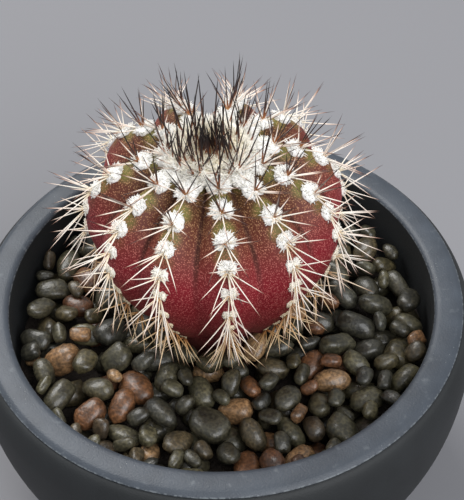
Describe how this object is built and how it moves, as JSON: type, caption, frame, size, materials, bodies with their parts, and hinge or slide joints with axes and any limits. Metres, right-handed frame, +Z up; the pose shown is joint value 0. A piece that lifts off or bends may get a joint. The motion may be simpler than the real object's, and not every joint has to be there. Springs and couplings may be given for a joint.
{
  "type": "potted round cactus",
  "caption": "Small round ribbed cactus with woolly areoles and radiating spines, in a bowl-shaped pot topped with river pebbles.",
  "frame": {"origin": "centre of the pot's flat base, on the surface it stands on", "axes": "+Z up; +Y away from the side that is seen first; +X to the right of that side"},
  "size_m": [0.13, 0.13, 0.1256],
  "materials": {
    "pot_stoneware": "matte",
    "potting_soil": "matte",
    "river_pebbles": "gloss",
    "cactus_skin": "satin",
    "crown_wool": "matte",
    "areole_spines": "satin"
  },
  "bodies": {
    "root": {"pot": "pot_stoneware", "soil": "potting_soil", "pebble_dressing": "river_pebbles", "cactus_body": "cactus_skin", "crown_tuft": "crown_wool", "areole_rib01_row1": "areole_spines", "areole_rib01_row2": "areole_spines", "areole_rib01_row3": "areole_spines", "areole_rib01_row4": "areole_spines", "areole_rib01_row5": "areole_spines", "areole_rib02_row1": "areole_spines", "areole_rib02_row2": "areole_spines", "areole_rib02_row3": "areole_spines", "areole_rib02_row4": "areole_spines", "areole_rib02_row5": "areole_spines", "areole_rib03_row1": "areole_spines", "areole_rib03_row2": "areole_spines", "areole_rib03_row3": "areole_spines", "areole_rib03_row4": "areole_spines", "areole_rib03_row5": "areole_spines", "areole_rib04_row1": "areole_spines", "areole_rib04_row2": "areole_spines", "areole_rib04_row3": "areole_spines", "areole_rib04_row4": "areole_spines", "areole_rib04_row5": "areole_spines", "areole_rib05_row1": "areole_spines", "areole_rib05_row2": "areole_spines", "areole_rib05_row3": "areole_spines", "areole_rib05_row4": "areole_spines", "areole_rib05_row5": "areole_spines", "areole_rib06_row1": "areole_spines", "areole_rib06_row2": "areole_spines", "areole_rib06_row3": "areole_spines", "areole_rib06_row4": "areole_spines", "areole_rib06_row5": "areole_spines", "areole_rib07_row1": "areole_spines", "areole_rib07_row2": "areole_spines", "areole_rib07_row3": "areole_spines", "areole_rib07_row4": "areole_spines", "areole_rib07_row5": "areole_spines", "areole_rib08_row1": "areole_spines", "areole_rib08_row2": "areole_spines", "areole_rib08_row3": "areole_spines", "areole_rib08_row4": "areole_spines", "areole_rib08_row5": "areole_spines", "areole_rib09_row1": "areole_spines", "areole_rib09_row2": "areole_spines", "areole_rib09_row3": "areole_spines", "areole_rib09_row4": "areole_spines", "areole_rib09_row5": "areole_spines", "areole_rib10_row1": "areole_spines", "areole_rib10_row2": "areole_spines", "areole_rib10_row3": "areole_spines", "areole_rib10_row4": "areole_spines", "areole_rib10_row5": "areole_spines", "areole_rib11_row1": "areole_spines", "areole_rib11_row2": "areole_spines", "areole_rib11_row3": "areole_spines", "areole_rib11_row4": "areole_spines", "areole_rib11_row5": "areole_spines"}
  },
  "joints": []
}
